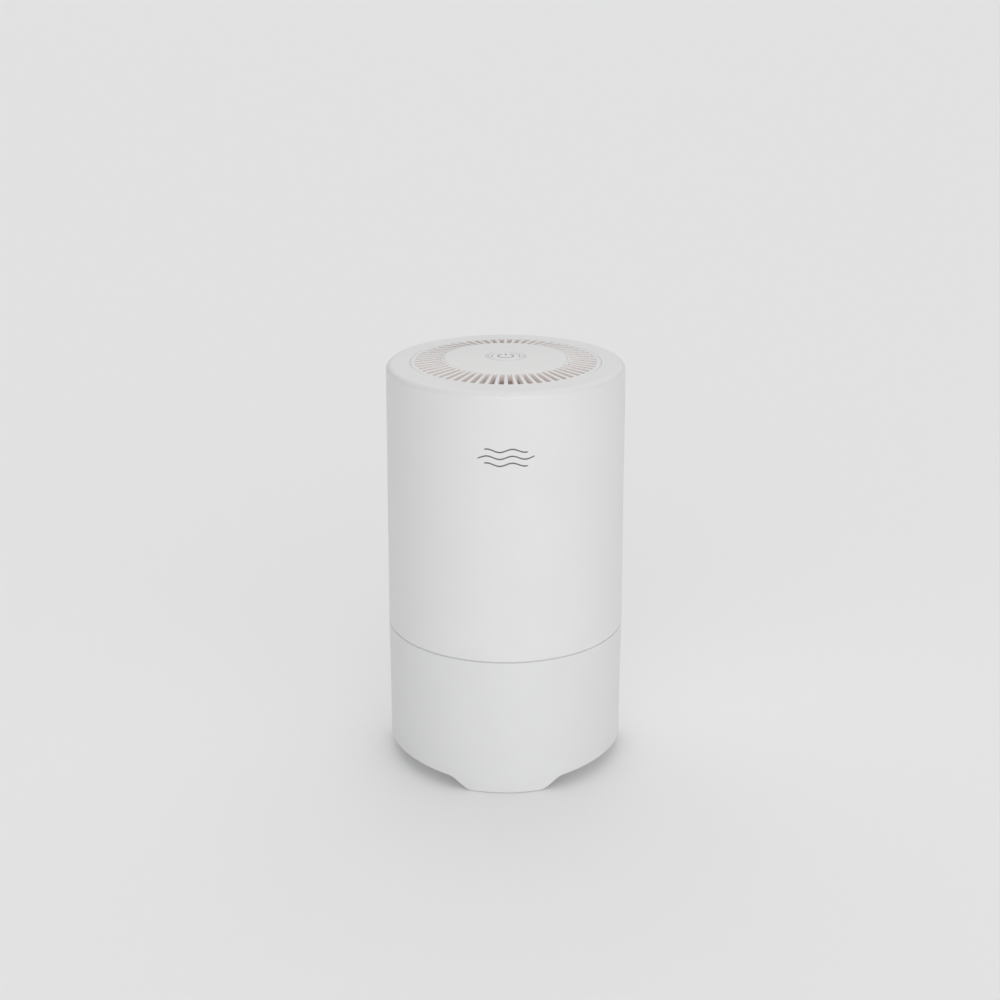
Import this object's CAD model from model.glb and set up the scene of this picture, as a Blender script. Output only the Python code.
import math

import bmesh
import bpy
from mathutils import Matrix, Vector


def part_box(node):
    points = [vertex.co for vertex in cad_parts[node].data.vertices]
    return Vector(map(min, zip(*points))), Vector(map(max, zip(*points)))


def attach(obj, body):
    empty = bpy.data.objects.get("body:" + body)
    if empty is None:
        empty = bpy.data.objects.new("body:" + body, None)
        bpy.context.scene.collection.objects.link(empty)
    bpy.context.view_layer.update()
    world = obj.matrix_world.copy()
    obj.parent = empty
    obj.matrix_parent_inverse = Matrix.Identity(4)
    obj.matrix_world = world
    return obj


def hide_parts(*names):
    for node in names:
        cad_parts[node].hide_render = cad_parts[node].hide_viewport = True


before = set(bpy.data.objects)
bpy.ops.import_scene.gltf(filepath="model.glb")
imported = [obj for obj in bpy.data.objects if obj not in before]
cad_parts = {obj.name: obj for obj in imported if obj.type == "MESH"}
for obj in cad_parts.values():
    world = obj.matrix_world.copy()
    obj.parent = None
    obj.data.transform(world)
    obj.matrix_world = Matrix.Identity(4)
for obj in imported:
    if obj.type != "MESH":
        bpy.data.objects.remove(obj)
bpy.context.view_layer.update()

# Outlines are written in millimetres. Angles are degrees from the front, anticlockwise from above.

MM = 0.001
FINE = 192  # facets of the outer shells
ROUND = 96  # facets of inner round pieces
SMALL = 40  # facets of screws, holes and stems
SHARP_DEG = 38  # edges sharper than this aren't shaded smooth
BEVEL_DEG = 45  # edges sharper than this are rounded

# ---- Sizes from the frame ----


def low(node):
    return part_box(node)[0].z / MM


def high(node):
    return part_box(node)[1].z / MM


def radius(node):
    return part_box(node)[1].x / MM


WALL = 2.4
GAP = 0.3  # clearance between pieces
SCREW_R = 67  # circle of the floor, duct and cup screws
HOLE_R = 1.7  # their holes

SEAM_LIP = 0.3  # a low lip behind the seam's groove
SEAM_R = radius("base_shell")
BASE_TOP = high("base_shell")
SEAM_Z = (BASE_TOP + low("upper_housing")) / 2
FOOT_Z = low("base_shell")
FOOT_R = SEAM_R - 0.2
RIM_R = SEAM_R - 1.5
RIM_Z = high("upper_housing")
TOP_Z = high("power_button")

GRILLE_R = radius("top_grille")
DISC_R = radius("control_disc")
BUTTON_R = 8.5
SLOTS = 60
SLOT_IN_R = 39.2
SLOT_OUT_R = 55.8
SLOT_IN_HALF = 1.2  # half a slot's width at its inner end
SLOT_OUT_HALF = 1.6
DOME_R = 517

FEET = 3
FOOT_HALF_DEG = 16.5  # half the angle of a foot's standing edge
FOOT_TOP_DEG = 29  # where its flank meets the arch
ARCH_LOW_Z = 8.0
ARCH_HIGH_Z = 9.8

LENS_MM = 59.26
CAMERA_PLACE = (-0.0035, -0.9828, 0.5094)  # metres
CAMERA_DROP_DEG = 19.18  # how far below the horizon it looks


def dome_z(r):
    """Height of the domed top at a radius."""
    return TOP_Z - r * r / (2 * DOME_R)


def base_r(z):
    return FOOT_R + (SEAM_R - FOOT_R) * z / SEAM_Z


def housing_r(z):
    return SEAM_R + (RIM_R - SEAM_R) * (z - SEAM_Z) / (RIM_Z - 4.4 - SEAM_Z)


# ---- Mesh tools: a solid is a pair of vertices and faces ----


def polar(r, deg, z=0.0):
    a = math.radians(deg)
    return (r * math.sin(a), -r * math.cos(a), z)


def around(count, first=0.0):
    return [first + i * 360 / count for i in range(count)]


def rectangle(left, right, bottom, top):
    return [(left, bottom), (right, bottom), (right, top), (left, top)]


def skin(sections, loop=False, caps=True):
    """The skin over sections that have the same number of points each."""
    n = len(sections[0])
    verts = [p for section in sections for p in section]
    faces = []
    for i in range(len(sections) if loop else len(sections) - 1):
        a, b = i * n, (i + 1) % len(sections) * n
        faces += [(a + j, a + (j + 1) % n, b + (j + 1) % n, b + j) for j in range(n)]
    if caps and not loop:
        last = (len(sections) - 1) * n
        faces += [tuple(reversed(range(n))), tuple(range(last, last + n))]
    return verts, faces


def revolved(outline, facets=ROUND):
    """A closed outline of (radius, height) turned about the Z axis."""
    return skin([[polar(r, a, z) for r, z in outline] for a in around(facets)], loop=True)


def rod(r, bottom, top):
    """A plain round rod on the Z axis."""
    return revolved(rectangle(0, r, bottom, top), SMALL)


def swept(outline, start, end, steps):
    """A closed outline of (radius, height) carried along an arc, with flat ends."""
    angles = [start + (end - start) * i / steps for i in range(steps + 1)]
    return skin([[polar(r, a, z) for r, z in outline] for a in angles])


def prism(outline, bottom, top):
    """A closed outline of (x, y) from one height to another."""
    return skin([[(x, y, z) for x, y in outline] for z in (bottom, top)])


def rotated(solid, deg):
    c, s = math.cos(math.radians(deg)), math.sin(math.radians(deg))
    return [(x * c - y * s, x * s + y * c, z) for x, y, z in solid[0]], solid[1]


def moved(solid, dx=0.0, dy=0.0, dz=0.0):
    return [(x + dx, y + dy, z + dz) for x, y, z in solid[0]], solid[1]


def copies(solid, r, angles):
    """A solid on the Z axis, moved out to a radius at each angle."""
    return [moved(solid, *polar(r, a)) for a in angles]


def laid(solid):
    """Turns +Z to +Y."""
    return [(x, z, -y) for x, y, z in solid[0]], solid[1]


def arc_between(centre, start, end, steps):
    """Points of the arc from start to end round a centre."""
    s, e = start - centre, end - centre
    sweep = s.angle(e)
    if sweep < 1e-4:
        return [start, end]
    points = []
    for i in range(steps + 1):
        t = i / steps
        points.append(centre + (s * math.sin((1 - t) * sweep) + e * math.sin(t * sweep)) / math.sin(sweep))
    return points


def rounded(corners, fillet=0.4, steps=4):
    """A closed outline with its corners rounded. A corner is (a, b), or (a, b, its own radius)."""
    points = [Vector(corner[:2]) for corner in corners]
    outline = []
    for i, corner in enumerate(corners):
        own = corner[2] if len(corner) > 2 else fillet
        p, before, after = points[i], points[i - 1], points[(i + 1) % len(points)]
        u, v = before - p, after - p
        if own <= 0 or min(u.length, v.length) < 1e-6 or u.angle(v) > 3.1:
            outline.append(p)
            continue
        half = u.angle(v) / 2
        reach = min(own / math.tan(half), 0.42 * min(u.length, v.length))
        arc_r = reach * math.tan(half)
        u.normalize()
        v.normalize()
        centre = p + (u + v).normalized() * (arc_r / math.sin(half))
        hold = 0.15 * reach
        arc = arc_between(centre, p + u * reach, p + v * reach, steps)
        outline += [p + u * (reach + hold), *arc, p + v * (reach + hold)]
    return [tuple(p) for p in outline]


def smooth(mesh):
    mesh.polygons.foreach_set("use_smooth", [True] * len(mesh.polygons))
    mesh.set_sharp_from_angle(angle=math.radians(SHARP_DEG))


def placed(name, bm):
    """Puts a bmesh into the scene as an object."""
    mesh = bpy.data.meshes.new(name)
    bm.to_mesh(mesh)
    bm.free()
    obj = bpy.data.objects.new(name, mesh)
    bpy.context.scene.collection.objects.link(obj)
    return obj


def build(name, *solids):
    """One object from one or more solids, welded, with its faces pointing out."""
    bm = bmesh.new()
    for verts, faces in solids:
        made = [bm.verts.new(Vector(v) * MM) for v in verts]
        for face in faces:
            bm.faces.new([made[i] for i in face])
    bmesh.ops.remove_doubles(bm, verts=bm.verts, dist=2e-7)
    bmesh.ops.recalc_face_normals(bm, faces=bm.faces)
    obj = placed(name, bm)
    smooth(obj.data)
    return obj


def baked(obj):
    """Turns an object's modifiers into mesh."""
    dg = bpy.context.evaluated_depsgraph_get()
    mesh = bpy.data.meshes.new_from_object(obj.evaluated_get(dg))
    obj.modifiers.clear()
    old, obj.data = obj.data, mesh
    bpy.data.meshes.remove(old)
    mesh.name = obj.name
    smooth(mesh)
    return obj


def combined(obj, operation, *tools):
    """Joins or cuts an object with tools. Each tool is a list of solids that don't touch each other."""
    made = [build("tool", *solids) for solids in tools]
    for tool in made:
        step = obj.modifiers.new("step", "BOOLEAN")
        step.object, step.operation, step.solver = tool, operation, "EXACT"
    baked(obj)
    for tool in made:
        mesh = tool.data
        bpy.data.objects.remove(tool)
        bpy.data.meshes.remove(mesh)
    return obj


def wired(name, bm, thickness):
    """A net, from a mesh that has a face in each opening."""
    net = placed(name, bm)
    wire = net.modifiers.new("wire", "WIREFRAME")
    wire.thickness, wire.use_even_offset, wire.use_boundary = thickness * MM, False, True
    return baked(net)


def softened(obj, width=0.25, segments=2, weld=False):
    """Rounds the sharp edges."""
    if weld:
        obj.modifiers.new("weld", "WELD").merge_threshold = 1e-5
    bevel = obj.modifiers.new("bevel", "BEVEL")
    bevel.width, bevel.segments = width * MM, segments
    bevel.limit_method, bevel.angle_limit = "ANGLE", math.radians(BEVEL_DEG)
    bevel.use_clamp_overlap = True
    bevel.miter_outer = "MITER_ARC"
    return obj


# ---- Materials ----


def link(tree, a, out, b, into):
    tree.links.new(a.outputs[out], b.inputs[into])


def node(tree, kind, **settings):
    made = tree.nodes.new(kind)
    for key, value in settings.items():
        if isinstance(value, (int, float, tuple)) and key in made.inputs:
            made.inputs[key].default_value = value
        else:
            setattr(made, key, value)
    return made


def noise(tree, scale, detail=3.0, rough=0.5, stretch=None):
    """Noise in metres of the piece, so it has the same size on every piece."""
    place = tree.nodes.new("ShaderNodeTexCoord")
    grain = node(tree, "ShaderNodeTexNoise", Scale=scale, Detail=detail, Roughness=rough)
    if stretch:
        mapping = tree.nodes.new("ShaderNodeMapping")
        mapping.inputs["Scale"].default_value = stretch
        link(tree, place, "Object", mapping, "Vector")
        link(tree, mapping, "Vector", grain, "Vector")
    else:
        link(tree, place, "Object", grain, "Vector")
    return grain


def ramp(tree, source, out, stops):
    made = tree.nodes.new("ShaderNodeValToRGB")
    elements = made.color_ramp.elements
    while len(elements) < len(stops):
        elements.new(0.5)
    for element, (position, value) in zip(elements, stops):
        element.position = position
        element.color = (*value, 1) if isinstance(value, tuple) else (value, value, value, 1)
    link(tree, source, out, made, "Fac")
    return made


def surface(name, colour, rough, spread=0.05, tint=0.03, grain=900.0, bump=0.06,
            wear=0.0, stretch=None, **sockets):
    """A moulded or coated surface: mottled colour, uneven gloss, fine grain and paler worn edges."""
    material = bpy.data.materials.new(name)
    material.use_nodes = True
    tree = material.node_tree
    shader = tree.nodes["Principled BSDF"]
    for socket, value in sockets.items():
        shader.inputs[socket.replace("_", " ")].default_value = value

    dark = tuple(c * (1 - tint) for c in colour)
    light = tuple(min(1, c * (1 + tint)) for c in colour)
    clouds = noise(tree, 38, 4, stretch=stretch)
    tone = ramp(tree, clouds, "Fac", [(0.3, dark), (0.7, light)])
    if wear:
        shape = tree.nodes.new("ShaderNodeNewGeometry")
        edge = ramp(tree, shape, "Pointiness", [(0.52, 0.0), (0.6, 1.0)])
        mix = node(tree, "ShaderNodeMix", data_type="RGBA")
        mask = node(tree, "ShaderNodeMath", operation="MULTIPLY")
        link(tree, edge, "Color", mask, 0)
        mask.inputs[1].default_value = wear
        link(tree, mask, "Value", mix, 0)
        link(tree, tone, "Color", mix, "A")
        worn = [min(1, c * 1.15 + 0.03) for c in colour]
        mix.inputs["B"].default_value = (*worn, 1)
        tree.links.new(mix.outputs[2], shader.inputs["Base Color"])
    else:
        link(tree, tone, "Color", shader, "Base Color")

    smudges = noise(tree, 85, 5, 0.6, stretch)
    gloss = ramp(tree, smudges, "Fac", [(0.25, max(0.02, rough - spread)), (0.75, min(1, rough + spread))])
    link(tree, gloss, "Color", shader, "Roughness")

    fine = noise(tree, grain, 2, 0.6, stretch)
    relief = node(tree, "ShaderNodeBump", Strength=bump, Distance=0.0002)
    link(tree, fine, "Fac", relief, "Height")
    link(tree, relief, "Normal", shader, "Normal")
    return material


def woven(name, colour, rough, threads, bump, tint=0.18, **sockets):
    """Cloth: two crossed wave patterns for the threads, over a soft mottled colour."""
    material = surface(name, colour, rough, tint=tint, **sockets)
    tree = material.node_tree
    shader = tree.nodes["Principled BSDF"]
    place = tree.nodes.new("ShaderNodeTexCoord")
    waves = []
    for axis in ("X", "Y"):
        wave = node(tree, "ShaderNodeTexWave", bands_direction=axis, Scale=threads, Distortion=0.6)
        link(tree, place, "Object", wave, "Vector")
        waves.append(wave)
    weave = node(tree, "ShaderNodeMath", operation="MAXIMUM")
    link(tree, waves[0], "Fac", weave, 0)
    link(tree, waves[1], "Fac", weave, 1)
    relief = node(tree, "ShaderNodeBump", Strength=bump, Distance=0.0003)
    link(tree, weave, "Value", relief, "Height")
    link(tree, relief, "Normal", shader, "Normal")
    return material


# Each has a name, colour, roughness, spread of roughness, mottling, grain to the metre and depth of grain.
MATERIALS = {
    "shell": surface("satin_shell", (0.80, 0.80, 0.80), 0.36, 0.05, 0.008, 1500, 0.05, wear=0.3),
    "base": surface("satin_base", (0.775, 0.777, 0.78), 0.36, 0.05, 0.008, 1500, 0.05, wear=0.3),
    "trim": surface("satin_trim", (0.81, 0.81, 0.805), 0.38, 0.05, 0.008, 1500, 0.05, wear=0.3),
    "inner": surface("moulded_inner", (0.66, 0.665, 0.67), 0.5, 0.07, 0.02, 1200, 0.1, wear=0.4),
    "duct": surface("moulded_duct", (0.64, 0.555, 0.53), 0.6, 0.07, 0.025, 1200, 0.1, wear=0.2,
                    Emission_Color=(1, 0.8, 0.74, 1), Emission_Strength=0.045),
    "slot": surface("slot_wall", (0.78, 0.72, 0.70), 0.6, 0.07, 0.02, 1200, 0.1,
                    Emission_Color=(1, 0.86, 0.82, 1), Emission_Strength=0.05),
    "fan": surface("moulded_fan", (0.56, 0.57, 0.58), 0.46, 0.07, 0.025, 1200, 0.1, wear=0.4),
    "rubber": surface("pad_rubber", (0.045, 0.045, 0.048), 0.82, 0.08, 0.2, 2200, 0.3),
    "paper": surface("filter_paper", (0.84, 0.84, 0.81), 0.95, 0.04, 0.035, 2600, 0.5,
                     Specular_IOR_Level=0.2),
    "carbon": surface("carbon_fleece", (0.02, 0.02, 0.022), 0.95, 0.04, 0.5, 1800, 0.9,
                      Specular_IOR_Level=0.2),
    "net": surface("white_net", (0.78, 0.79, 0.79), 0.6, 0.08, 0.04, 2500, 0.2),
    "foam": surface("gasket_foam", (0.05, 0.05, 0.055), 0.95, 0.04, 0.35, 1600, 1.0,
                    Specular_IOR_Level=0.2),
    "ribbon": woven("green_ribbon", (0.045, 0.17, 0.085), 0.75, 520, 0.8, Sheen_Weight=0.3),
    "diffuser": surface("light_diffuser", (0.74, 0.745, 0.75), 0.3, 0.05, 0.01, 1500, 0.04),
    "symbol": surface("printed_grey", (0.3, 0.3, 0.32), 0.5, 0.06, 0.05, 1800, 0.08),
    "mark": surface("printed_dark", (0.13, 0.13, 0.14), 0.5, 0.06, 0.05, 1800, 0.08),
    "board": surface("board_lacquer", (0.016, 0.13, 0.055), 0.35, 0.08, 0.3, 700, 0.2),
    "black": surface("black_plastic", (0.016, 0.016, 0.018), 0.42, 0.08, 0.2, 1500, 0.12, wear=0.05),
    "steel": surface("plated_steel", (0.56, 0.57, 0.59), 0.3, 0.1, 0.06, 1400, 0.1,
                     stretch=(1, 1, 12), Metallic=1.0),
    "copper": surface("enamelled_wire", (0.62, 0.25, 0.1), 0.35, 0.1, 0.15, 900, 0.5,
                      stretch=(1, 1, 30), Metallic=1.0),
}


def coated(obj, material):
    obj.data.materials.clear()
    obj.data.materials.append(MATERIALS[material])


def finished(obj, body, material, *nodes, slot):
    """Gives a piece its material, the body it rides on and the CAD nodes it stands for."""
    coated(obj, material)
    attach(obj, body)
    if nodes:
        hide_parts(*nodes)
    return obj


# ---- Base ----


def arch_z(deg):
    """Height of the lower edge: feet on the floor, smooth flanks and a shallow arch between."""
    pitch = 360 / FEET
    away = abs(deg - pitch * round(deg / pitch))
    t = min(1, max(0, (away - FOOT_HALF_DEG) / (FOOT_TOP_DEG - FOOT_HALF_DEG)))
    crown = min(1, max(0, (away - FOOT_TOP_DEG) / (pitch / 2 - FOOT_TOP_DEG)))
    rise = (ARCH_LOW_Z - FOOT_Z) * t * t * (3 - 2 * t)
    return FOOT_Z + rise + (ARCH_HIGH_Z - ARCH_LOW_Z) * math.sin(crown * math.pi / 2)


FOOT_ANGLES = around(FEET)
SIDES = ("front", "right", "left")
FLOOR_Z = low("intake_floor")
LEDGE_R = 69.4
LEDGE_Z = low("bayonet_ring") - GAP
BLOCK_HALF_DEG = 13  # half the angle of a foot's block
RECESS_HALF_DEG = 11.5  # half the angle of the recess for its pad


def base_outline(edge_z):
    """The wall from its lower edge to the lip at the seam, with the ledge under the bayonet ring."""
    rim, ledge_wall = base_r(BASE_TOP), base_r(LEDGE_Z) - WALL
    return rounded([
        (base_r(edge_z), edge_z, 0.7),
        (rim - 0.02, BASE_TOP, 0.45),
        (rim - 0.65, BASE_TOP, 0.05),
        (rim - 0.65, BASE_TOP + SEAM_LIP, 0.1),
        (rim - WALL, BASE_TOP + SEAM_LIP, 0.3),
        (ledge_wall, LEDGE_Z, 0.2),
        (LEDGE_R, LEDGE_Z, 0.3),
        (LEDGE_R, LEDGE_Z - WALL, 0.3),
        (ledge_wall, LEDGE_Z - WALL, 0.2),
        (base_r(edge_z) - WALL, edge_z, 0.7),
    ])


def make_base_shell():
    sections = [[polar(r, deg, z) for r, z in base_outline(arch_z(deg))] for deg in around(360)]
    shell = build("base_shell_skin", skin(sections, loop=True))
    block = rounded(rectangle(62, FOOT_R - WALL + 0.8, FOOT_Z, FLOOR_Z - GAP), 0.5)
    recess = rectangle(63.6, 70.6, -1, 2.6)
    half = BLOCK_HALF_DEG
    combined(shell, "UNION", [swept(block, a - half, a + half, 18) for a in FOOT_ANGLES])
    half = RECESS_HALF_DEG
    combined(shell, "DIFFERENCE", [swept(recess, a - half, a + half, 16) for a in FOOT_ANGLES],
             copies(rod(HOLE_R, 4, 20), SCREW_R, FOOT_ANGLES))
    finished(softened(shell), "base", "base", "base_shell", slot="shell_plastic")


def stadium(width, inner, outer, steps=6):
    """A slot with round ends along the front radius."""
    r = width / 2
    outline = []
    for centre, turn in ((inner + r, 180), (outer - r, 0)):
        for i in range(steps + 1):
            a = math.radians(turn + 180 * i / steps)
            outline.append((r * math.cos(a), -centre - r * math.sin(a)))
    return outline


def make_intake_floor():
    """A disc with groups of three slits, long ones outside and short ones inside."""
    bottom, top = FLOOR_Z, high("intake_floor")
    rim = radius("intake_floor")
    disc = rounded([(0, bottom, 0), (rim, bottom), (rim, top), (0, top, 0)])
    plate = build("intake_floor_plate", revolved(disc))
    width, pitch = 1.9, 2.9
    cuts = []
    for inner, outer, groups in ((34, 57, 12), (13, 29, 6)):
        slit = prism(stadium(width, inner, outer), bottom - 1, top + 1)
        cuts += [rotated(moved(slit, dx), a) for a in around(groups) for dx in (-pitch, 0, pitch)]
    cuts += copies(rod(HOLE_R, bottom - 1, top + 1), SCREW_R, FOOT_ANGLES)
    combined(plate, "DIFFERENCE", cuts)
    finished(softened(plate, 0.3), "base", "inner", "intake_floor", slot="inner_plastic")


TAB_ANGLES = around(3, 60)
TAB_HALF_DEG = 12
TWIST_DEG = 26  # from the lock ring's lugs beside the tabs to under them


def make_bayonet_ring():
    bottom, top = low("bayonet_ring"), high("bayonet_ring")
    inner, outer, flange = 65.2, 67.4, radius("bayonet_ring")
    ring = build("bayonet_ring_body", revolved(rounded([
        (inner, bottom), (flange, bottom), (flange, bottom + WALL),
        (outer, bottom + WALL), (outer, top, 0.6), (inner, top, 0.6),
    ]), FINE))
    tab = rounded(rectangle(66.6, 69.7, top - 3.5, top - 0.2), 0.4)
    combined(ring, "UNION", [swept(tab, a - TAB_HALF_DEG, a + TAB_HALF_DEG, 16) for a in TAB_ANGLES])
    finished(softened(ring), "base", "inner", "bayonet_ring", slot="inner_plastic")


def make_foot_pads():
    half = 11
    outline = rounded([(64, 0, 0.6), (70.2, 0, 0.6), (70.2, 2.3), (64, 2.3)], 0.3)
    for side, a in zip(SIDES, FOOT_ANGLES):
        pad = build(f"foot_pad_{side}_rubber", swept(outline, a - half, a + half, 20))
        finished(softened(pad, 0.5, 3), "base", "rubber", f"foot_pad_{side}", slot="pad_rubber")


# ---- Dust screen ----


def make_screen_frame():
    """A rim and a hub ring, joined by four spokes."""
    bottom, top = low("screen_frame"), high("screen_frame")
    rim_in, rim_out = 60, radius("screen_frame")
    spoke_low = bottom + 0.8
    body = build(
        "screen_frame_body",
        revolved(rounded(rectangle(rim_in, rim_out, bottom, bottom + 3.9), 0.5)),
        revolved(rounded(rectangle(16, 18, spoke_low, top), 0.5)),
    )
    spoke = prism(rectangle(-1, 1, -16.8, -61.5), spoke_low, top - 0.05)
    combined(body, "UNION", [rotated(spoke, a) for a in around(4)])
    finished(softened(body, 0.35), "screen", "fan", "screen_frame", slot="fan_plastic")


def make_screen_net():
    """Square wire mesh, with its crossings alternately up and down."""
    edge = radius("screen_mesh") - 0.4
    level = low("screen_mesh") + 0.25
    pitch, weave = 1.7, 0.08
    reach = int(edge // pitch) + 1
    bm = bmesh.new()
    grid = {}
    for i in range(-reach, reach + 1):
        for j in range(-reach, reach + 1):
            z = level + (weave if (i + j) % 2 else -weave)
            if math.hypot(i, j) * pitch < edge:
                grid[i, j] = bm.verts.new(Vector((i * pitch, j * pitch, z)) * MM)
    for i, j in grid:
        corners = [(i, j), (i + 1, j), (i + 1, j + 1), (i, j + 1)]
        if all(c in grid for c in corners):
            bm.faces.new([grid[c] for c in corners])
    bmesh.ops.delete(bm, geom=[v for v in bm.verts if not v.link_faces], context="VERTS")
    finished(wired("screen_net", bm, 0.32), "screen", "net", "screen_mesh", slot="white_net")


# ---- Filter ----

MEDIA_LOW = low("filter_media")
MEDIA_HIGH = high("filter_media")
PLEATS = 60


def make_filter_media():
    """A thin pleated wall: a zigzag with round folds, offset both ways."""
    outer, inner, half = 56.6, 36.9, 0.24
    per_fold = 12
    point = 0.985  # how sharp the folds are, up to 1
    count = PLEATS * per_fold
    line = []
    for i in range(count):
        wave = math.asin(point * math.cos(2 * math.pi * i / per_fold)) / math.asin(point)
        r = (outer + inner) / 2 + (outer - inner) / 2 * wave
        uneven = 0.15 * math.sin(i * 1.7)
        line.append(Vector(polar(r, i * 360 / count + uneven)[:2]))
    sides = []
    for sign in (1, -1):
        side = []
        for i, p in enumerate(line):
            along = line[(i + 1) % count] - line[i - 1]
            side.append(p + Vector((along.y, -along.x)).normalized() * half * sign)
        sides.append(side)
    steps = 6
    heights = [MEDIA_LOW + (MEDIA_HIGH - MEDIA_LOW) * k / steps for k in range(steps + 1)]
    wall = []
    for front, back in zip(*sides):
        up = [(*front, z) for z in heights]
        down = [(*back, z) for z in reversed(heights)]
        wall.append(up + down)
    media = build("filter_pleats", skin(wall, loop=True))
    finished(media, "filter", "paper", "filter_media", slot="filter_paper")


def make_filter_net():
    """A diamond lattice round the pleats."""
    r, columns, rows = 58.05, 84, 26
    step = (MEDIA_HIGH - MEDIA_LOW - 0.6) / rows
    bm = bmesh.new()
    knots = []
    for row in range(rows + 1):
        shift = 0.5 * (row % 2)
        z = MEDIA_LOW + 0.3 + row * step
        ring = [polar(r, (c + shift) * 360 / columns, z) for c in range(columns)]
        knots.append([bm.verts.new(Vector(p) * MM) for p in ring])
    for row in range(1, rows):
        below, level, above = knots[row - 1:row + 2]
        for c in range(columns):
            after, between = (c + 1) % columns, (c + row % 2) % columns
            bm.faces.new([level[c], below[between], level[after], above[between]])
    finished(wired("filter_lattice", bm, 0.42), "filter", "net", "filter_net", slot="white_net")


def make_filter_cap(name, face, lip, back, hole_r, corner):
    """A dish with a flat face, a lip over the pleats, and a hole or none in the middle."""
    rim, lip_in = radius(name), 58.8
    cap = build(f"{name}_body", revolved(rounded([
        (hole_r, face, corner), (rim, face, 1.2), (rim, lip, 0.5), (lip_in, lip), (lip_in, back, 0.3),
        (hole_r, back, corner)])))
    finished(cap, "filter", "trim", name, slot="trim_plastic")


def make_filter_caps():
    bottom, top, thick = low("filter_bottom_cap"), high("filter_top_cap"), 2.8
    make_filter_cap("filter_bottom_cap", bottom, high("filter_bottom_cap"), bottom + thick, 0, 0)
    make_filter_cap("filter_top_cap", top, low("filter_top_cap"), top - thick, 29, 0.8)


def make_filter_core():
    """A tube with rows of windows."""
    core = build("filter_core_tube", revolved(rounded(rectangle(31, 32.9, MEDIA_LOW, MEDIA_HIGH), 0.3)))
    rows = 6
    pitch = (MEDIA_HIGH - MEDIA_LOW) / rows
    half_w, half_h = 6.5, pitch / 2 - 1.6
    outline = rounded(rectangle(-half_w, half_w, -half_h, half_h), 2, 3)
    windows = []
    for row in range(rows):
        z = MEDIA_LOW + (row + 0.5) * pitch
        window = skin([[(x, y, z + h) for x, h in outline] for y in (-40, -25)])
        windows += [rotated(window, a) for a in around(12)]
    combined(core, "DIFFERENCE", windows)
    finished(core, "filter", "trim", "filter_core", slot="trim_plastic")


def make_carbon_sleeve():
    """Fleece with a lumpy outer face."""
    inner, outer = 33.45, 35.5
    outline = rounded(rectangle(inner, outer, MEDIA_LOW, MEDIA_HIGH), 0.4)
    sections = []
    for i, deg in enumerate(around(ROUND)):
        lump = 0.1 * math.sin(i * 2.3) * math.cos(i * 0.7)
        sections.append([polar(r + (lump if r > outer - 1 else 0), deg, z) for r, z in outline])
    fleece = build("carbon_fleece_ring", skin(sections, loop=True))
    finished(fleece, "filter", "carbon", "carbon_sleeve", slot="carbon_fleece")


def make_gasket():
    """A foam ring with a slightly uneven top."""
    bottom, top = low("filter_gasket"), high("filter_gasket")
    outline = rounded([(40, bottom, 1), (50, bottom, 1), (50, top, 2.2), (40, top, 2.2)], steps=6)
    sections = []
    for i, deg in enumerate(around(ROUND * 2)):
        give = 0.12 * math.sin(i * 0.9) * math.sin(i * 0.37)
        sections.append([polar(r, deg, z - (abs(give) if z > bottom + 2 else 0)) for r, z in outline])
    gasket = build("gasket_ring", skin(sections, loop=True))
    finished(gasket, "filter", "foam", "filter_gasket", slot="gasket_foam")


def make_pull_tab():
    """A ribbon that hangs in a shallow loop under the bottom cap."""
    half_w, half_t, reach = 6.0, 0.16, 13.0
    top, sag = high("filter_pull_tab") - 0.3, 4.6
    steps = 28
    path = []
    for i in range(steps + 1):
        x = -reach + 2 * reach * i / steps
        path.append(Vector((x, top - sag * max(0, math.cos(math.pi * x / (2 * reach))) ** 1.5)))
    across = (-1, -0.5, 0, 0.5, 1)
    edges = [(y, -1) for y in across] + [(y, 1) for y in reversed(across)]
    sections = []
    for i, p in enumerate(path):
        along = path[min(i + 1, steps)] - path[max(i - 1, 0)]
        up = Vector((-along.y, along.x)).normalized() * half_t
        curl = 0.25 * math.sin(math.pi * i / steps)
        section = []
        for y, side in edges:
            section.append((p.x + up.x * side, y * half_w, p.y + up.y * side + curl * y * y))
        sections.append(section)
    ribbon = build("filter_ribbon", skin(sections))
    finished(ribbon, "filter", "ribbon", "filter_pull_tab", slot="green_ribbon")


# ---- Upper housing ----

DUCT_SCREW_ANGLES = around(3, 30)
CUP_SCREW_ANGLES = around(3, 90)
FLANGE_Z = low("fan_duct")
FLANGE_T = 2.3
SOCKET_Z = (low("dc_socket") + high("dc_socket")) / 2
SEAT_Z = 255  # the ledge that the grille stands on
SEAT_LOW_Z = 252.8


def housing_outline():
    """The wall, the rounded rim and the grille's ledge. Two rings keep the shading even round the socket."""
    bottom, shoulder_z = low("upper_housing"), 250
    hole, ledge_in, ledge_out = GRILLE_R + 0.14, 57.2, 60.6
    return rounded([
        (SEAM_R - WALL, bottom, 0.3),
        (SEAM_R, bottom, 0.45),
        *((housing_r(SOCKET_Z + dz), SOCKET_Z + dz, 0) for dz in (-7, 7)),
        (RIM_R - 0.03, RIM_Z - 0.45, 4.0),
        (hole, RIM_Z - 0.05, 0.2),
        (hole, SEAT_Z, 0.2),
        (ledge_in, SEAT_Z, 0.3),
        (ledge_in, SEAT_LOW_Z, 0.3),
        (ledge_out, SEAT_LOW_Z, 0.3),
        (ledge_out, SEAT_LOW_Z + 2, 0.3),
        (68.6, SEAT_LOW_Z + 2, 1.5),
        (housing_r(shoulder_z) - WALL, shoulder_z, 1.0),
    ], steps=8)


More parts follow.
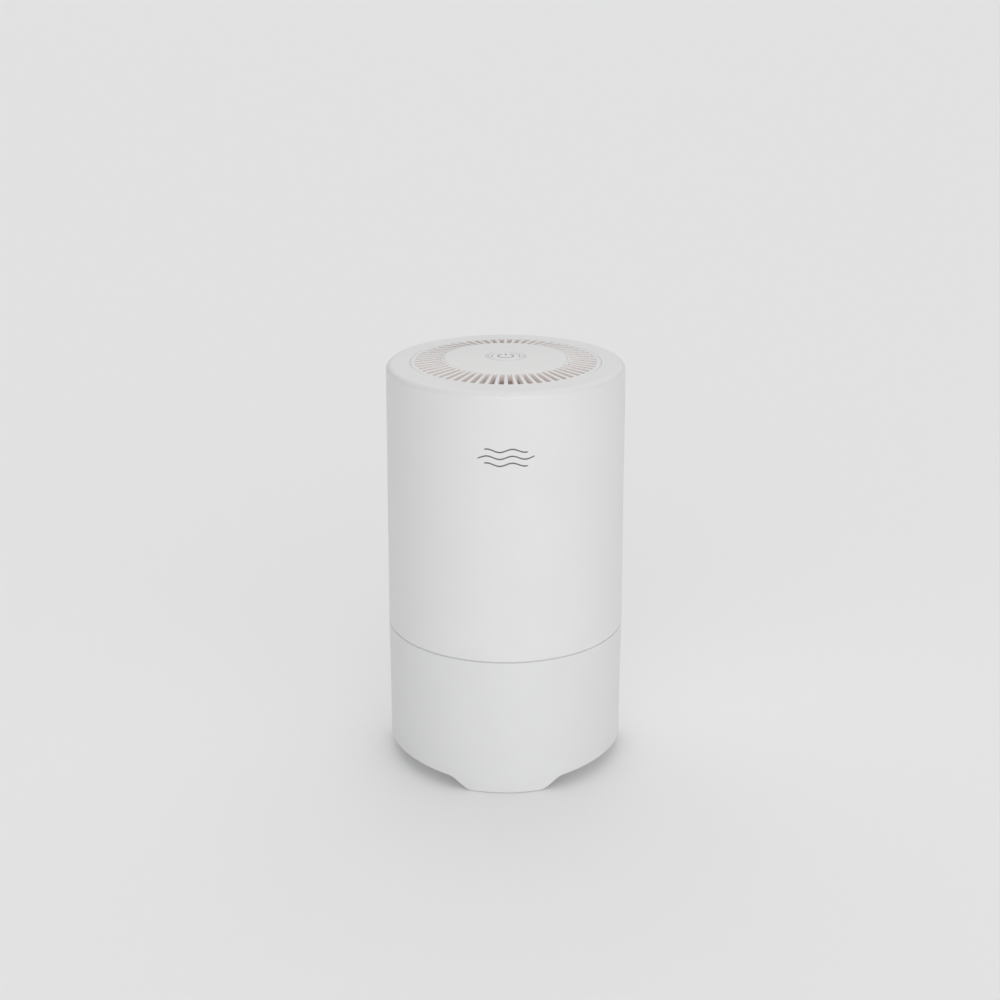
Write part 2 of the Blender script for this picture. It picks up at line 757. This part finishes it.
def make_upper_housing():
    shell = build("upper_housing_skin", revolved(housing_outline(), FINE))
    post = rectangle(64, 72.4, FLANGE_Z + FLANGE_T + GAP, SEAT_Z + 0.2)
    plug_hole = moved(laid(rod(5.3, 60, 90)), dz=SOCKET_Z)
    combined(shell, "UNION", [swept(post, a - 3, a + 3, 2) for a in DUCT_SCREW_ANGLES])
    pilots = copies(rod(HOLE_R, FLANGE_Z, 206), SCREW_R, DUCT_SCREW_ANGLES)
    combined(shell, "DIFFERENCE", pilots, [plug_hole])
    finished(softened(shell, 0.3), "housing", "shell", "upper_housing", slot="shell_plastic")


def make_lock_ring():
    """A ring in the housing with a lug for each tab of the bayonet ring."""
    bottom, top = low("lock_ring"), high("lock_ring")
    ring = build("lock_ring_body", revolved(rounded(rectangle(70.2, 72, bottom, top), 0.4), FINE))
    lug = rounded(rectangle(67.8, 71, 92, high("bayonet_ring") - 3.9), 0.4)
    middles = [a + TWIST_DEG for a in TAB_ANGLES]
    combined(ring, "UNION", [swept(lug, a - TAB_HALF_DEG, a + TAB_HALF_DEG, 16) for a in middles])
    finished(softened(ring), "housing", "inner", "lock_ring", slot="inner_plastic")


# ---- Top: grille, disc, ring, button and symbol ----

STEP_Z = 257.5  # the step that the control disc rests on
GRILLE_BOTTOM = 255.3
PER_SLOT = 5  # facets of the grille's rings to each slot
SLOTS_OUT_R = SLOT_OUT_R + 0.9  # edges of the band that holds the slots
SLOTS_IN_R = SLOT_IN_R - 0.9


def slot_loop(grow):
    """A slot's outline, grown outwards, as a loop of 16 points."""
    def half_width(r):
        t = (r - SLOT_IN_R) / (SLOT_OUT_R - SLOT_IN_R)
        return SLOT_IN_HALF + (SLOT_OUT_HALF - SLOT_IN_HALF) * t + grow

    corner = 0.55 + grow
    inner, outer = SLOT_IN_R - grow, SLOT_OUT_R + grow
    points = []
    for r_corner, side, first in [(outer, 1, 0), (outer, -1, 90), (inner, -1, 180), (inner, 1, 270)]:
        sign = 1 if r_corner == outer else -1
        centre_r = r_corner - sign * corner
        centre_x = side * (half_width(r_corner) - corner)
        for k in range(4):
            a = math.radians(first + 30 * k)
            points.append((centre_x + corner * math.cos(a), centre_r + corner * math.sin(a)))
    return points


def grille_loops():
    """Loops of one slot's sector, from the top border down the slot's wall to the bottom border."""
    half = 180 / SLOTS
    across = [half, half * 0.6, half * 0.2, -half * 0.2, -half * 0.6, -half]

    def border(z_of):
        outer = [(half, SLOTS_OUT_R - 1.4), *((a, SLOTS_OUT_R) for a in across), (-half, SLOTS_OUT_R - 1.4)]
        inner = [(-half, SLOTS_IN_R + 1.4), *((-a, SLOTS_IN_R) for a in across), (half, SLOTS_IN_R + 1.4)]
        return [polar(r, a, z_of(r)) for a, r in outer + inner]

    def hole(grow, drop):
        return [(x, -r, dome_z(math.hypot(x, r)) - drop) for x, r in slot_loop(grow)]

    fillet = 0.4
    loops = [border(dome_z), hole(fillet * 1.35, 0)]
    for k in range(4):
        a = math.radians(30 * k)
        loops.append(hole(fillet * (1 - math.sin(a)), fillet * (1 - math.cos(a))))
    loops.append([(x, -r, GRILLE_BOTTOM) for x, r in slot_loop(0)])
    loops.append(border(lambda r: GRILLE_BOTTOM))
    return loops


def strip(outline):
    """An open outline turned about the axis, with a facet for each of the grille's."""
    angles = around(SLOTS * PER_SLOT)
    verts, faces = skin([[polar(r, a, z) for r, z in outline] for a in angles], loop=True)
    n = len(outline)
    return verts, [f for f in faces if not {f[0] % n, f[1] % n} == {0, n - 1}]


def grille_edge():
    """The plain band outside the slots."""
    return rounded([(SLOTS_OUT_R, dome_z(SLOTS_OUT_R), 0), (GRILLE_R, dome_z(GRILLE_R), 0.2),
                    (GRILLE_R, GRILLE_BOTTOM, 0.3), (SLOTS_OUT_R, GRILLE_BOTTOM, 0)])


def grille_step():
    """The band inside the slots, with the step under the control disc."""
    seat, hole = DISC_R + 0.08, 28
    return rounded([(SLOTS_IN_R, GRILLE_BOTTOM, 0), (hole, GRILLE_BOTTOM, 0.3), (hole, STEP_Z, 0.3),
                    (seat, STEP_Z, 0.2), (seat, dome_z(seat), 0.2), (SLOTS_IN_R, dome_z(SLOTS_IN_R), 0)])


def colour_slots(grille):
    """Gives the slots' walls, below their rounded edges, a material of their own."""
    grille.data.materials.append(MATERIALS["slot"])
    for face in grille.data.polygons:
        x, y, z = face.center / MM
        r = math.hypot(x, y)
        if SLOT_IN_R - 1 < r < SLOT_OUT_R + 1 and z < dome_z(r) - 0.6:
            face.material_index = 1


def make_grille():
    loops = grille_loops()
    sectors = [rotated(skin(loops, caps=False), a) for a in around(SLOTS, 180 / SLOTS)]
    grille = build("outlet_grille", *sectors, strip(grille_edge()), strip(grille_step()))
    tip, circle_r, angles = low("top_grille"), 31.5, around(3)
    post = revolved(rounded([(0, tip, 0), (2.8, tip, 0.3), (2.8, 256, 0), (0, 256, 0)]), SMALL)
    combined(grille, "UNION", copies(post, circle_r, angles))
    combined(grille, "DIFFERENCE", copies(rod(1.4, tip - 1, 253), circle_r, angles))
    finished(grille, "housing", "shell", "top_grille", slot="shell_plastic")
    colour_slots(grille)


RING_IN_R, RING_OUT_R = 10.6, 12.4  # the light ring's groove


def make_control_disc():
    hole, groove = BUTTON_R + 0.35, 0.9
    crown = [(r, dome_z(r), 0) for r in (34, 29, 24, 19, 15)]
    disc = build("control_disc_cover", revolved(rounded([
        (hole, TOP_Z - 1.7, 0.2),
        (DISC_R, STEP_Z + GAP, 0.2),
        (DISC_R, dome_z(DISC_R), 0.2),
        *crown,
        (RING_OUT_R, dome_z(RING_OUT_R), 0.2),
        (RING_OUT_R, dome_z(RING_OUT_R) - groove, 0.1),
        (RING_IN_R, dome_z(RING_IN_R) - groove, 0.1),
        (RING_IN_R, dome_z(RING_IN_R), 0.2),
        (hole, dome_z(BUTTON_R), 0.3),
    ]), FINE))
    finished(disc, "housing", "trim", "control_disc", slot="trim_plastic")


def make_light_ring():
    play = 0.15
    top = dome_z((RING_IN_R + RING_OUT_R) / 2) - 0.08
    outline = rounded(rectangle(RING_IN_R + play, RING_OUT_R - play, top - 0.6, top), 0.15)
    ring = build("light_ring_diffuser", revolved(outline, FINE))
    finished(ring, "housing", "diffuser", "light_ring", slot="light_diffuser")


def make_button():
    """A slightly crowned cap with a flange that keeps it in, and a stem down to the switch."""
    tip, crown = low("power_button"), TOP_Z - 0.09
    stem_r, flange_r, flange_low, flange_top = 2.4, 10.2, 257.7, 258.8
    button = build("power_button_cap", revolved(rounded([
        (0, tip, 0), (stem_r, tip, 0.3), (stem_r, flange_low, 0.3), (flange_r, flange_low, 0.2),
        (flange_r, flange_top, 0.2), (BUTTON_R, flange_top, 0.2), (BUTTON_R, crown - 0.12, 0.35),
        (6, crown - 0.04, 0), (3, crown - 0.01, 0), (0, crown, 0),
    ])))
    finished(button, "button", "trim", "power_button", slot="trim_plastic")


def make_symbol():
    """The on and off sign: an open ring with a bar in its gap, inlaid in the button."""
    bottom, top = TOP_Z - 0.5, TOP_Z - 0.04
    ring_r, half = 4.7, 0.42
    gap = 30
    outline = rounded(rectangle(ring_r - half, ring_r + half, bottom, top), 0.08, 2)
    ring = swept(outline, 180 + gap, 540 - gap, 64)
    bar = prism(rounded(rectangle(-half, half, 0.6, 5.4), 0.35), bottom, top)
    sign = build("power_symbol", ring, bar)
    finished(sign, "button", "symbol", slot="trim_plastic")


def make_airflow_mark():
    """Three printed wavy lines on the front of the housing."""
    centre_z, spacing, half_t = 219, 4.2, 0.42
    wave_h, wave_length, steps = 0.95, 15, 96
    lines = []
    for row, reach in enumerate((13, 17, 13)):
        line_z = centre_z + (1 - row) * spacing
        sections = []
        for i in range(steps + 1):
            x = -reach + 2 * reach * i / steps
            z = line_z + wave_h * math.sin(x * 2 * math.pi / wave_length)
            half = half_t * min(1, math.sqrt(max(0, 1 - abs(x) / reach)) * 3 + 0.15)
            face_r = housing_r(z)
            deg = math.degrees(x / face_r)
            section = rectangle(face_r - 0.1, face_r + 0.03, z - half, z + half)
            sections.append([polar(r, deg, height) for r, height in section])
        lines.append(skin(sections))
    mark = build("airflow_mark", *lines)
    finished(mark, "housing", "mark", slot="shell_plastic")


# ---- Fan ----

PLATE_Z = low("fan_cup")
CUP_TOP = high("fan_cup")
NOTCH = rectangle(-2.5, 2.5, 66.6, 74.6)  # lets the supply lead past


def make_fan_cup():
    """A plate with a bellmouth in the middle, and a wall round the impeller with ears for the screws."""
    rim, wall_in, wall_out, plate_top, throat_z = 70.7, 61.4, 63.4, PLATE_Z + 2.2, PLATE_Z + 7
    cup = build("fan_cup_body", revolved(rounded([
        (rim, PLATE_Z, 0.5),
        (36, PLATE_Z, 3.5),
        (31.4, PLATE_Z + 2.6, 1.5),
        (29.8, throat_z, 0.3),
        (31.2, throat_z, 0.3),
        (35.4, plate_top, 2),
        (wall_in, plate_top, 1.5),
        (wall_in, CUP_TOP),
        (wall_out, CUP_TOP),
        (wall_out, plate_top, 0.8),
        (rim, plate_top, 0.5),
    ]), FINE))
    ear = prism(rounded(rectangle(-3.3, 3.3, -62.6, -70.3), 2.5, 5), CUP_TOP - 3.6, CUP_TOP)
    combined(cup, "UNION", [rotated(ear, a) for a in CUP_SCREW_ANGLES])
    combined(cup, "DIFFERENCE", copies(rod(HOLE_R, CUP_TOP - 5, CUP_TOP + 1), SCREW_R, CUP_SCREW_ANGLES),
             [prism(NOTCH, PLATE_Z - 1, PLATE_Z + 4)])
    finished(softened(cup), "housing", "fan", "fan_cup", slot="fan_plastic")


def make_inlet_guard():
    """Hoops round a hub, on six spokes."""
    bottom, top = low("inlet_guard"), high("inlet_guard")

    def hoop(inner, outer):
        return revolved(rounded(rectangle(inner, outer, bottom, top), 0.5, 3))

    hub = revolved(rounded([(0, bottom, 0), (4, bottom, 0.6), (4, top, 0.6), (0, top, 0)]))
    inner_hoops = [hoop(r - 0.6, r + 0.6) for r in (10, 16, 22, 28)]
    guard = build("inlet_guard_grille", hoop(34, 36.4), *inner_hoops, hub)
    spoke = prism(rectangle(-0.75, 0.75, -2, -35), bottom + 0.1, top - 0.1)
    for a in around(6):
        combined(guard, "UNION", [rotated(spoke, a)])
    finished(softened(guard, 0.3), "housing", "inner", "inlet_guard", slot="inner_plastic")


def blade(angle, inner, outer, sweep, low_of, high_z, thick, steps=14):
    """A backward-swept fan blade between a hub disc and a shroud."""
    sections = []
    for i in range(steps + 1):
        t = i / steps
        r = inner + (outer - inner) * t
        half = math.degrees(thick * (1 - 0.5 * t) / r)
        deg = angle - sweep * t ** 1.2
        bottom = low_of(r)
        sections.append([polar(r, deg - half, bottom), polar(r, deg + half, bottom),
                         polar(r, deg + half, high_z), polar(r, deg - half, high_z)])
    return skin(sections)


def shroud_top(r):
    """Height that the blades start from, just inside the shroud."""
    return 154.3 + (r - 37) * 0.16 if r > 37 else 154.3 + (37 - r) * 0.56


def make_impeller():
    """A deep hub with a disc above, blades, and a shroud ring below that the air enters through."""
    rim, bore, cup_r = radius("impeller"), 1.8, 20.7
    hub = build("impeller_wheel", revolved(rounded([
        (bore, 160.2), (19.5, 160.2, 1.5), (22.5, 163, 2), (24, 178, 3), (28, 182.5, 3), (rim, 184.2, 0.4),
        (rim, 185.8, 0.4), (cup_r, 185.8, 0.4), (cup_r, 163, 0.5), (bore, 163),
    ], 0.3), FINE))
    shroud = revolved(rounded([
        (33.2, 151.4, 0.4), (34.8, 151.4, 0.6), (37, 153.2, 1.5), (rim, 155.8, 0.4),
        (rim, 157.4, 0.4), (36, 154.9, 1.5), (33.2, 152.6, 0.4),
    ]), FINE)
    combined(hub, "UNION", [blade(a, 27, 51.6, 40, shroud_top, 184.8, 0.75) for a in around(9)])
    combined(hub, "UNION", [shroud])
    finished(softened(hub), "fan", "fan", "impeller", slot="fan_plastic")


TAPER_Z = 226  # the duct narrows up to here
VANES = 6
HUB_FLOOR_Z = 193.4


def duct_r(z):
    """Inner radius of the duct's outer wall."""
    return 61.5 - 4.9 * min(1, max(0, (z - FLANGE_Z) / (TAPER_Z - FLANGE_Z)))


def guide_vane(angle, bottom=199.0, top=236.0, steps=10):
    """A curved vane from the hub to the outer wall, thickest in the middle."""
    sections = []
    for i in range(steps + 1):
        t = i / steps
        z = bottom + (top - bottom) * t
        deg = angle + 20 * (1 - t) ** 2
        half = 0.8 * (1 - 0.4 * abs(2 * t - 1))
        inner, outer = 37.4, duct_r(z) + 1
        corners = ((inner, -half), (outer, -half), (outer, half), (inner, half))
        sections.append([polar(r, deg + math.degrees(side / r), z) for r, side in corners])
    return skin(sections)


def duct_wall(wall_top):
    """The outer wall with its flange."""
    flange_top, rim, thick = FLANGE_Z + FLANGE_T, 70.5, 2
    return revolved(rounded([
        (duct_r(FLANGE_Z), FLANGE_Z), (duct_r(TAPER_Z), TAPER_Z, 0), (duct_r(wall_top), wall_top, 0.6),
        (duct_r(wall_top) + thick, wall_top, 0.6), (duct_r(TAPER_Z) + thick, TAPER_Z, 0),
        (duct_r(flange_top) + thick, flange_top, 1), (rim, flange_top), (rim, FLANGE_Z),
    ]), FINE)


def duct_hub(top):
    """The cup in the middle that the motor stands in."""
    hole, inner, outer, floor_top = 5.8, 36.4, 38.6, HUB_FLOOR_Z + 2.6
    return revolved(rounded([
        (hole, HUB_FLOOR_Z), (outer, HUB_FLOOR_Z, 2), (outer, top, 0.6), (inner, top, 0.6),
        (inner, floor_top, 1), (hole, floor_top),
    ]), FINE)


def make_fan_duct():
    top = high("fan_duct")
    under_floor, hub_screw_r = HUB_FLOOR_Z - 1, 14
    walls = build("fan_duct_body", duct_wall(top - 2.6), duct_hub(top))
    bosses = copies(rod(3.2, FLANGE_Z + 1, 200), SCREW_R, CUP_SCREW_ANGLES)
    combined(walls, "UNION", [guide_vane(a) for a in around(VANES, 12)], bosses)
    lead_slot = rectangle(-2, 2, 32, 62)
    combined(walls, "DIFFERENCE", copies(rod(HOLE_R, FLANGE_Z - 1, 199), SCREW_R, around(6, 30)),
             copies(rod(1.5, under_floor, 198), hub_screw_r, around(3)),
             [moved(rod(2.6, under_floor, 198), 0, hub_screw_r)],
             [prism(NOTCH, FLANGE_Z - 1, FLANGE_Z + 4)],
             [prism(lead_slot, 249, top + 1)])
    finished(softened(walls), "housing", "duct", "fan_duct", slot="fan_plastic")


# ---- Socket and fasteners ----


def make_socket():
    """A round barrel with a collar inside the wall, and a pin in the middle of its bore."""
    outline = rounded([
        (0, 62, 0), (5.6, 62), (5.6, 69.8, 0.2), (7, 69.8), (7, 71.5), (4.9, 71.5, 0.2), (4.9, 74.4, 0.5),
        (2.8, 74.4, 0.3), (2.8, 64.5, 0.2), (1.05, 64.5, 0.2), (1.05, 73, 0.4), (0, 73.3, 0),
    ], 0.3)
    socket = build("supply_socket", moved(laid(revolved(outline, 64)), dz=SOCKET_Z))
    finished(socket, "housing", "black", "dc_socket", slot="black_plastic")


def screw_outline(head_r, shank_r, length, head_t):
    """A pan-head screw's outline, head down at z = 0, with thread ridges up the shank."""
    corners = [(0, 0, 0), (head_r, 0, head_t * 0.6), (head_r, head_t, 0.15), (shank_r, head_t, 0.1)]
    outline = rounded(corners)
    pitch = 0.9
    turns = int((length - head_t - 1.2) / pitch)
    for k in range(turns):
        z = head_t + 0.4 + k * pitch
        outline += [(shank_r - 0.28, z), (shank_r - 0.28, z + 0.3), (shank_r, z + 0.6)]
    return outline + [(shank_r - 0.3, length - 0.7), (shank_r * 0.3, length), (0, length)]


def make_screw(name, body, head_up):
    """A screw with a cross recess, the size and place of its CAD node."""
    lo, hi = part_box(name)
    lo, hi = lo / MM, hi / MM
    head_r = (hi.x - lo.x) / 2
    length = hi.z - lo.z
    outline = screw_outline(head_r, head_r * 0.48, length, min(1.8, head_r * 0.75))
    screw = build(f"{name}_body", revolved(outline, SMALL))
    arm, half = head_r * 0.55, head_r * 0.12
    for x, y in ((arm, half), (half, arm)):
        combined(screw, "DIFFERENCE", [prism(rectangle(-x, x, -y, y), -1, 0.8)])
    for vert in screw.data.vertices:
        if head_up:
            vert.co = Vector((vert.co.x, -vert.co.y, length * MM - vert.co.z))
        vert.co += Vector(((lo.x + hi.x) / 2, (lo.y + hi.y) / 2, lo.z)) * MM
    finished(screw, body, "steel", name, slot="steel")


def make_screws():
    for side in SIDES:
        make_screw(f"floor_screw_{side}", "base", True)
    for group, head_up in (("board", False), ("duct", False), ("cup", False), ("motor", True)):
        for i in range(3):
            make_screw(f"{group}_screw_{i + 1}", "housing", head_up)


# ---- CAD nodes that stay ----

KEPT = {
    "black": ["tact_switch", "switch_plunger", "controller_chip"],
    "trim": ["power_connector", "fan_connector"],
    "board": ["control_board"],
    "steel": ["motor_base", "motor_rotor", "motor_shaft", "hub_nut", "lower_bearing", "upper_bearing"],
    "copper": ["motor_stator"],
    "inner": ["lead_clip_lower", "lead_clip_upper"],
}
LEADS = ["supply_lead", "fan_lead"]


def finish_kept_nodes():
    """Gives the CAD nodes that nothing replaces a material and rounded edges."""
    for material, names in KEPT.items():
        for name in names:
            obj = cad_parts[name]
            coated(obj, material)
            softened(obj, 0.15, weld=True)
    for name in LEADS:
        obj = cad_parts[name]
        coated(obj, "black")
        obj.modifiers.new("weld", "WELD").merge_threshold = 1e-5
        obj.modifiers.new("round", "SUBSURF").render_levels = 2


# ---- Stage, light and camera ----


def make_stage():
    """A plain pale floor, so large that its edge is out of sight."""
    reach = 40.0
    mesh = bpy.data.meshes.new("floor")
    corners = [(x, y, 0) for x, y in rectangle(-reach, reach, -reach, reach)]
    mesh.from_pydata(corners, [], [(0, 1, 2, 3)])
    floor = bpy.data.objects.new("floor", mesh)
    bpy.context.scene.collection.objects.link(floor)
    material = bpy.data.materials.new("pale_floor")
    material.use_nodes = True
    shader = material.node_tree.nodes["Principled BSDF"]
    shader.inputs["Base Color"].default_value = (0.81, 0.81, 0.815, 1)
    shader.inputs["Emission Color"].default_value = (1, 1, 1, 1)
    shader.inputs["Emission Strength"].default_value = 0.1
    shader.inputs["Roughness"].default_value = 0.9
    shader.inputs["Specular IOR Level"].default_value = 0.1
    mesh.materials.append(material)


def make_light(name, place, target, size, power, colour=(1, 1, 1)):
    data = bpy.data.lights.new(name, "AREA")
    data.shape, data.size, data.size_y = "RECTANGLE", *size
    data.energy, data.color = power, colour
    light = bpy.data.objects.new(name, data)
    light.location = place
    light.rotation_mode = "QUATERNION"
    light.rotation_quaternion = (Vector(place) - Vector(target)).to_track_quat("Z", "Y")
    bpy.context.scene.collection.objects.link(light)


# Where each glow of the studio comes from, how narrow it is, its strength and its colour.
GLOWS = [
    ((0, -1, 0), 4, 2.05, (0.985, 0.99, 1)),
    ((0.72, -0.7, 0.1), 3, 0.58, (1, 0.985, 0.955)),
    ((0, -0.5, 0.86), 2, 0.22, (1, 1, 1)),
    ((0, 0.6, 0.8), 2, 1.2, (1, 1, 1)),
]


def make_glow(tree, place, direction, power, strength, colour):
    """Light that fades with a power of the cosine away from its direction."""
    glow = tree.nodes.new("ShaderNodeBackground")
    glow.inputs["Color"].default_value = (*colour, 1)
    towards = node(tree, "ShaderNodeVectorMath", operation="DOT_PRODUCT")
    towards.inputs[1].default_value = Vector(direction).normalized()
    link(tree, place, "Generated", towards, 0)
    last = towards
    for operation, value in (("MAXIMUM", 0), ("POWER", power), ("MULTIPLY", strength)):
        step = node(tree, "ShaderNodeMath", operation=operation)
        step.inputs[1].default_value = value
        link(tree, last, "Value", step, 0)
        last = step
    link(tree, last, "Value", glow, "Strength")
    return glow


def make_world():
    """A studio with a large soft front light, a weaker one to the right, and light from above and behind."""
    world = bpy.data.worlds.new("studio")
    world.use_nodes = True
    tree = world.node_tree
    base = tree.nodes["Background"]
    base.inputs["Color"].default_value = (0.98, 0.99, 1, 1)
    base.inputs["Strength"].default_value = 0.04
    place = tree.nodes.new("ShaderNodeTexCoord")
    total = (base, "Background")
    for settings in GLOWS:
        both = tree.nodes.new("ShaderNodeAddShader")
        link(tree, *total, both, 0)
        link(tree, make_glow(tree, place, *settings), "Background", both, 1)
        total = (both, "Shader")
    link(tree, *total, tree.nodes["World Output"], "Surface")
    bpy.context.scene.world = world


def make_lights():
    """Two weak softboxes, which give the glossier pieces something to reflect."""
    middle = (0, 0, 0.13)
    make_light("left_softbox", (-1.0, -1.2, 0.6), middle, (0.5, 1.4), 0.3)
    make_light("right_softbox", (1.2, -1.1, 0.6), middle, (0.6, 1.4), 0.4, (1, 0.98, 0.95))


def make_camera():
    data = bpy.data.cameras.new("camera")
    data.sensor_width = 36
    data.lens = LENS_MM
    camera = bpy.data.objects.new("camera", data)
    camera.location = CAMERA_PLACE
    camera.rotation_euler = (math.radians(90 - CAMERA_DROP_DEG), 0, 0)
    bpy.context.scene.collection.objects.link(camera)
    bpy.context.scene.camera = camera


make_camera()
make_world()
make_lights()
make_stage()
make_base_shell()
make_intake_floor()
make_bayonet_ring()
make_foot_pads()
make_screen_frame()
make_screen_net()
make_filter_media()
make_filter_net()
make_filter_caps()
make_filter_core()
make_carbon_sleeve()
make_gasket()
make_pull_tab()
make_upper_housing()
make_lock_ring()
make_grille()
make_control_disc()
make_light_ring()
make_button()
make_symbol()
make_airflow_mark()
make_fan_cup()
make_inlet_guard()
make_impeller()
make_fan_duct()
make_socket()
make_screws()
finish_kept_nodes()

bpy.context.scene.view_settings.view_transform = "Standard"
